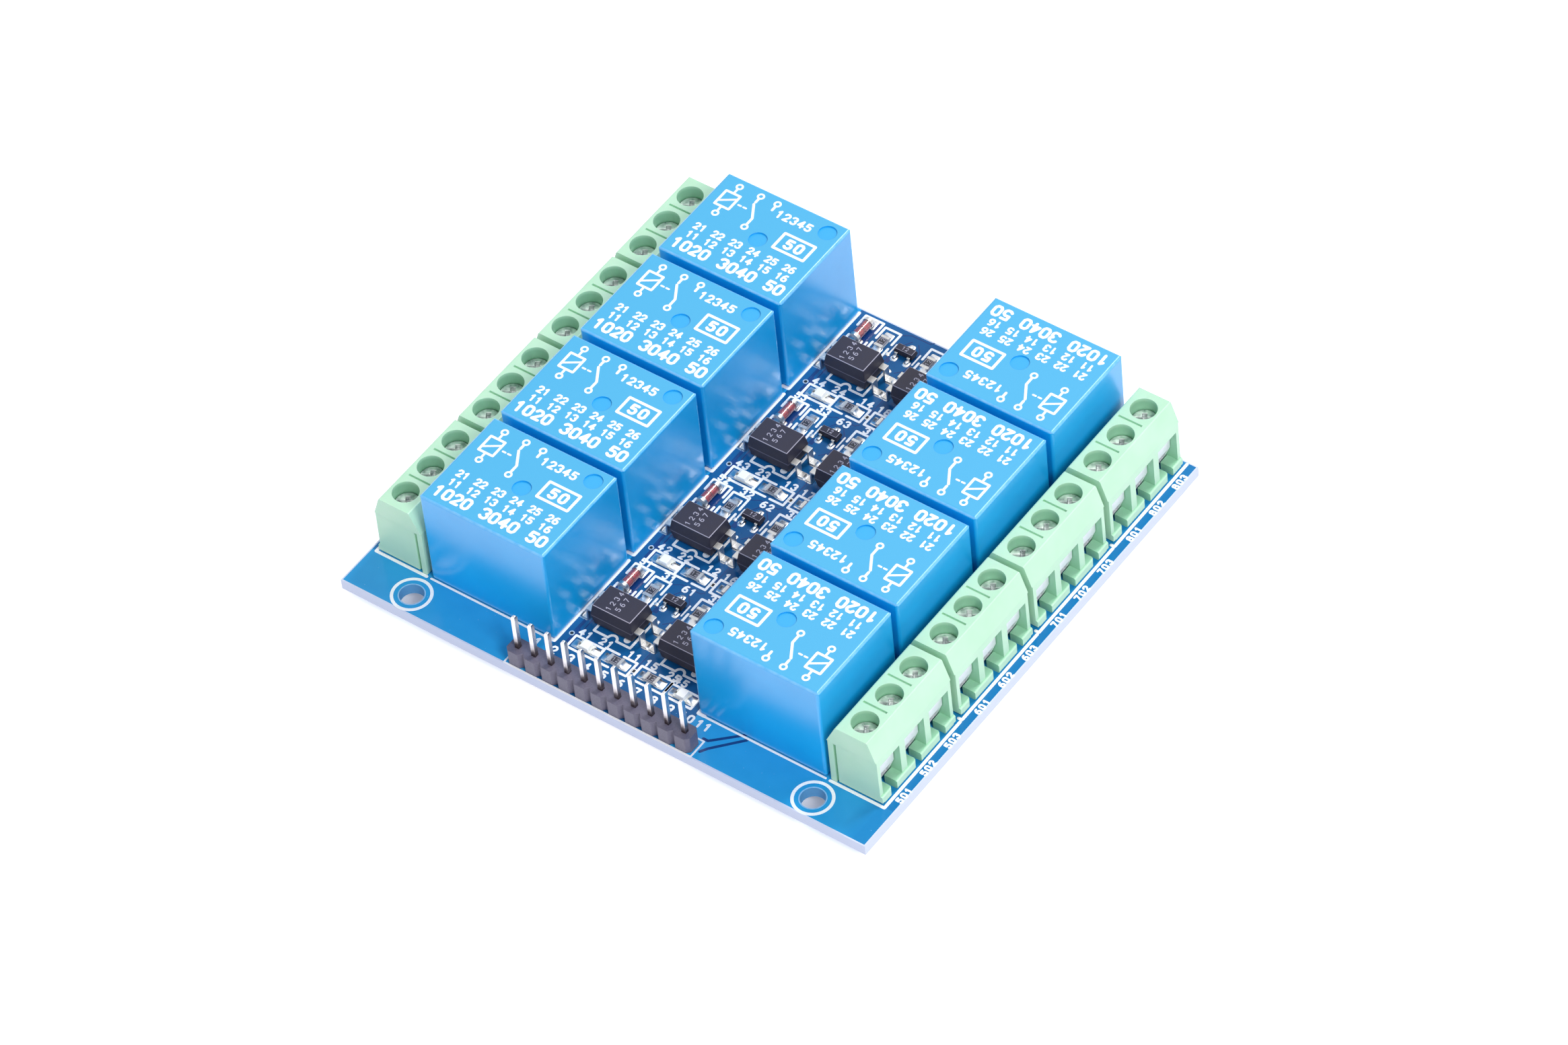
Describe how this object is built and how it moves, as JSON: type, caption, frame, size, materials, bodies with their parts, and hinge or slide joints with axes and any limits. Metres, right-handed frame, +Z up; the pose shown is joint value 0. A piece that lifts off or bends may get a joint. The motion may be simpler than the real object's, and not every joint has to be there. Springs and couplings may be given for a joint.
{
  "type": "relay module board",
  "caption": "Circuit board module with two columns of sealed relays, a screw terminal beside each relay, drive parts in the aisle between them and a row of header pins in front.",
  "frame": {"origin": "on the surface that the trimmed pins stand on, below the middle of the board", "axes": "+X along the front edge to the right, +Y from the pin header's edge into the depth, +Z up"},
  "size_m": [0.08, 0.072, 0.0189],
  "materials": {
    "solder_mask": "glossy blue solder mask over glass-epoxy laminate",
    "relay_cover": "glossy moulded polyester",
    "relay_base": "moulded phenolic with potting resin",
    "terminal_housing": "satin moulded polyamide",
    "clamp_plating": "zinc or nickel plated steel clamps",
    "screw_plating": "zinc plated steel screws",
    "tinned_pin": "tinned brass strip",
    "tinned_lead": "tinned leads and end caps",
    "header_plastic": "moulded black polyester",
    "header_pin": "tin plated square wire",
    "moulded_epoxy": "black moulded epoxy",
    "diode_glass": "clear glass tube with an orange red chip inside",
    "led_base": "white laminate",
    "led_lens": "clear to milky cast resin",
    "resistor_body": "alumina with a black glaze",
    "solder": "tin solder"
  },
  "bodies": {
    "root": {"board": "solder_mask", "relay_1_cover": "relay_cover", "relay_2_cover": "relay_cover", "relay_3_cover": "relay_cover", "relay_4_cover": "relay_cover", "relay_5_cover": "relay_cover", "relay_6_cover": "relay_cover", "relay_7_cover": "relay_cover", "relay_8_cover": "relay_cover", "relay_1_base": "relay_base", "relay_2_base": "relay_base", "relay_3_base": "relay_base", "relay_4_base": "relay_base", "relay_5_base": "relay_base", "relay_6_base": "relay_base", "relay_7_base": "relay_base", "relay_8_base": "relay_base", "relay_pins": "tinned_pin", "terminal_1_housing": "terminal_housing", "terminal_2_housing": "terminal_housing", "terminal_3_housing": "terminal_housing", "terminal_4_housing": "terminal_housing", "terminal_5_housing": "terminal_housing", "terminal_6_housing": "terminal_housing", "terminal_7_housing": "terminal_housing", "terminal_8_housing": "terminal_housing", "terminal_1_clamps": "clamp_plating", "terminal_2_clamps": "clamp_plating", "terminal_3_clamps": "clamp_plating", "terminal_4_clamps": "clamp_plating", "terminal_5_clamps": "clamp_plating", "terminal_6_clamps": "clamp_plating", "terminal_7_clamps": "clamp_plating", "terminal_8_clamps": "clamp_plating", "terminal_1_screws": "screw_plating", "terminal_2_screws": "screw_plating", "terminal_3_screws": "screw_plating", "terminal_4_screws": "screw_plating", "terminal_5_screws": "screw_plating", "terminal_6_screws": "screw_plating", "terminal_7_screws": "screw_plating", "terminal_8_screws": "screw_plating", "terminal_pins": "tinned_pin", "header_strip": "header_plastic", "header_pins": "header_pin", "optocoupler_bodies": "moulded_epoxy", "optocoupler_leads": "tinned_lead", "transistor_bodies": "moulded_epoxy", "transistor_leads": "tinned_lead", "diode_tubes": "diode_glass", "diode_caps": "tinned_lead", "led_bases": "led_base", "led_lenses": "led_lens", "resistor_bodies": "resistor_body", "resistor_caps": "tinned_lead", "solder_joints": "solder"}
  },
  "joints": []
}
